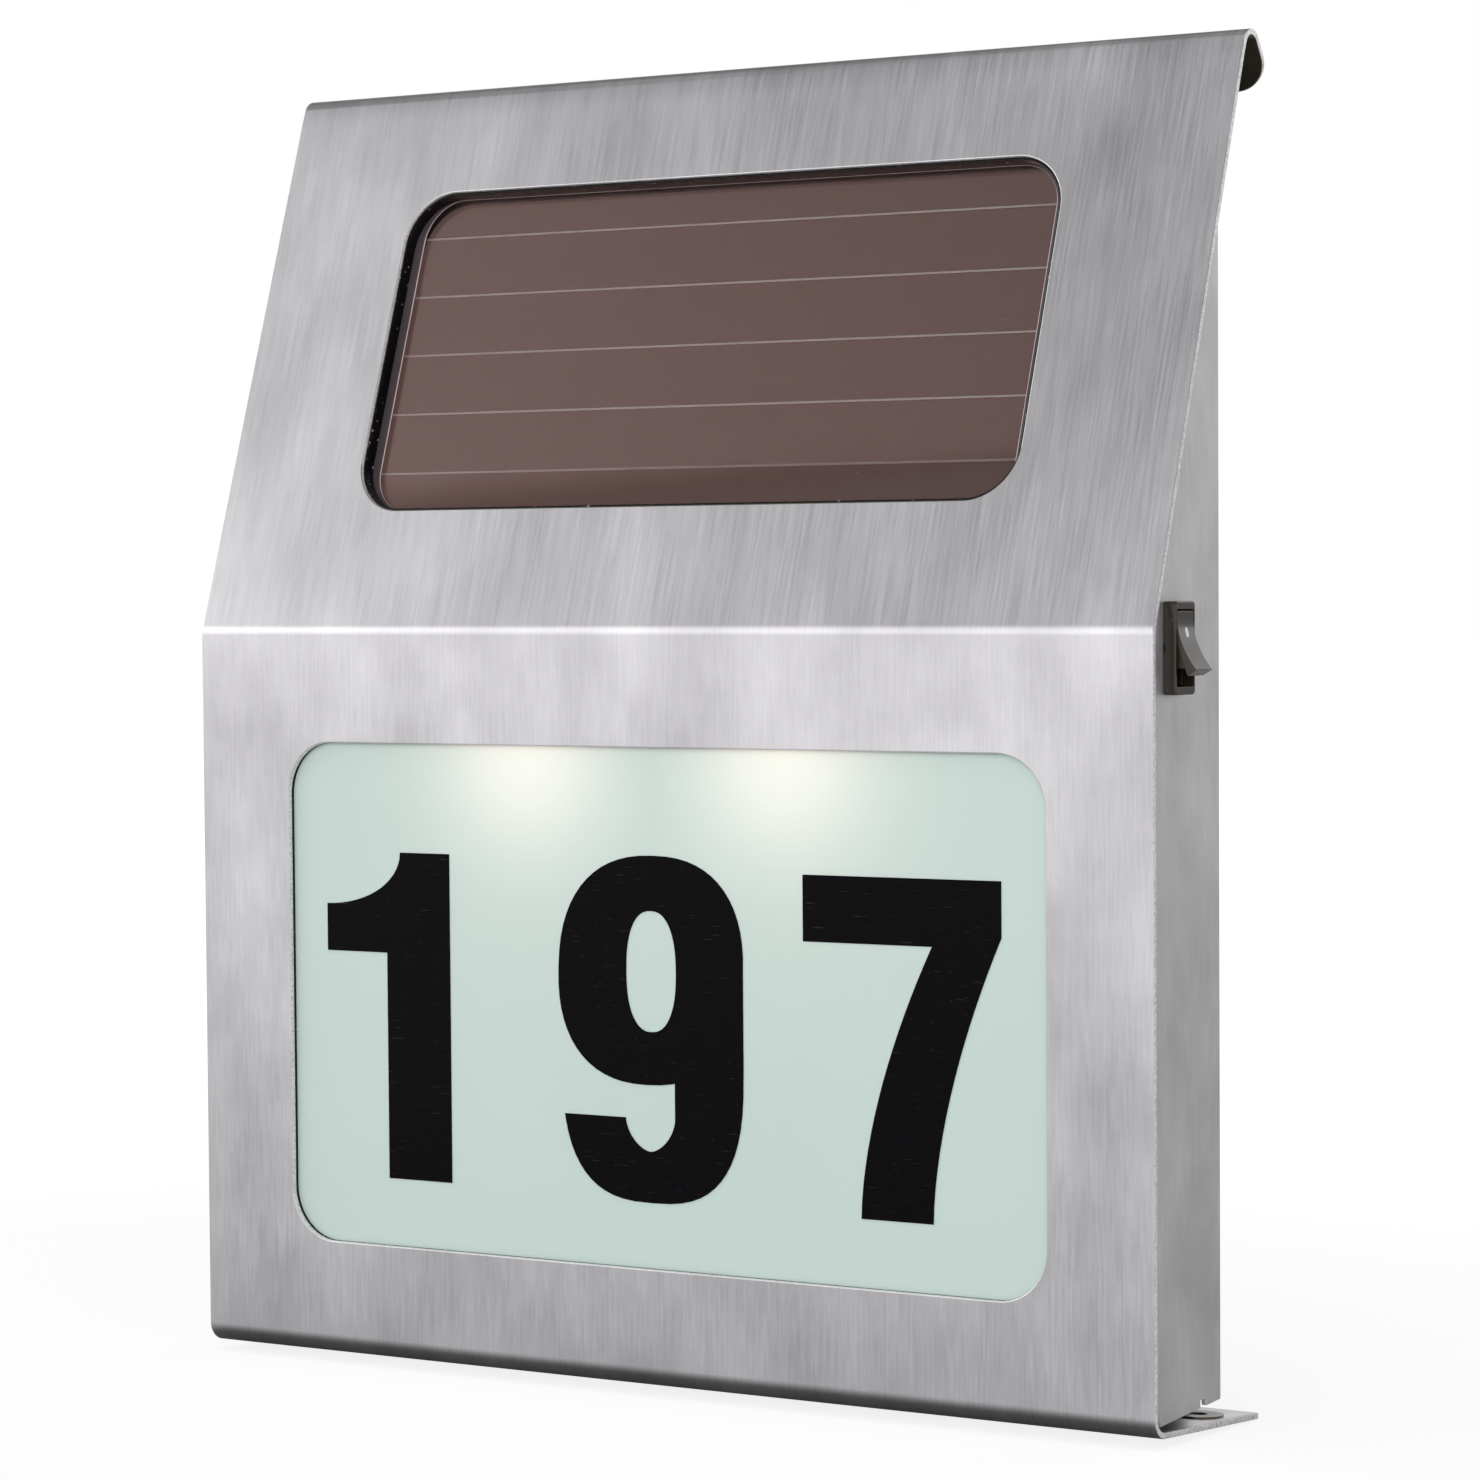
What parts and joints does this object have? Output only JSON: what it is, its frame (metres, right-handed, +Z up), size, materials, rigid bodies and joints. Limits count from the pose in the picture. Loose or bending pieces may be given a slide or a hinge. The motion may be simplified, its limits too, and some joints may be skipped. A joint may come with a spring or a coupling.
{
  "type": "solar house-number light",
  "caption": "Wall-hung solar house-number light: folded steel cover with a leaning solar panel, lit number window, side rocker switch and hidden hanging bracket.",
  "frame": {"origin": "on the wall face, at the centre of the bracket's four wall screw holes", "axes": "+X to the right seen from the front, +Y from the light's front back into the wall, +Z up"},
  "size_m": [0.1951, 0.0418, 0.2216],
  "materials": {
    "cover_steel": "stainless sheet, brushed up and down",
    "bracket_steel": "plain zinc-coated sheet",
    "fastener_steel": "bright zinc",
    "seal_foam": "closed-cell foam",
    "black_plastic": "fine moulded texture",
    "opal_panel": "pale mint opal sheet",
    "digit_film": "cut film",
    "solar_glass": "clear flat glass",
    "solar_cells": "dark red-brown thin-film strips",
    "white_plastic": "plain moulded white",
    "board_green": "lacquered circuit board",
    "lamp_resin": "warm-white lamp resin",
    "battery_sleeve": "shrink sleeve",
    "contact_metal": "nickel-plated strip",
    "switch_plastic": "smooth dark plastic",
    "lead_sleeve": "soft insulation"
  },
  "bodies": {
    "bracket": {"wall_bracket": "bracket_steel"},
    "light": {"front_cover": "cover_steel", "left_cheek": "cover_steel", "right_cheek": "cover_steel", "weld_studs": "fastener_steel", "flange_nuts": "fastener_steel", "tub_seal": "seal_foam", "rear_tub": "black_plastic", "tub_nuts": "fastener_steel", "number_seal": "seal_foam", "number_panel": "opal_panel", "digit_one": "digit_film", "digit_nine": "digit_film", "digit_seven": "digit_film", "solar_seal": "seal_foam", "solar_glass": "solar_glass", "solar_cells": "solar_cells", "solar_back_sheet": "white_plastic", "light_tray": "white_plastic", "tray_screws": "fastener_steel", "lamp_board": "board_green", "lamps": "lamp_resin", "control_board": "board_green", "board_screws": "fastener_steel", "charge_chip": "black_plastic", "charge_coil": "black_plastic", "lead_sockets": "white_plastic", "battery_holder": "black_plastic", "battery": "battery_sleeve", "battery_contacts": "contact_metal", "switch_body": "switch_plastic", "switch_terminals": "contact_metal", "solar_leads": "lead_sleeve", "lamp_leads": "lead_sleeve", "switch_leads": "lead_sleeve", "battery_leads": "lead_sleeve"},
    "rocker": {"switch_rocker": "switch_plastic"},
    "door": {"battery_door": "black_plastic"}
  },
  "joints": [
    {"name": "lift_off", "type": "slide", "parent": "bracket", "child": "light", "axis": [0, 0, 1], "range_m": [0, 0.008]},
    {"name": "switch_rock", "type": "hinge", "parent": "light", "child": "rocker", "pos_m": [0.0945, -0.0347, 0.0166], "axis": [0, 1, 0], "range_deg": [0, 34]},
    {"name": "door_slide", "type": "slide", "parent": "light", "child": "door", "axis": [-1, 0, 0], "range_m": [0, 0.025]}
  ]
}
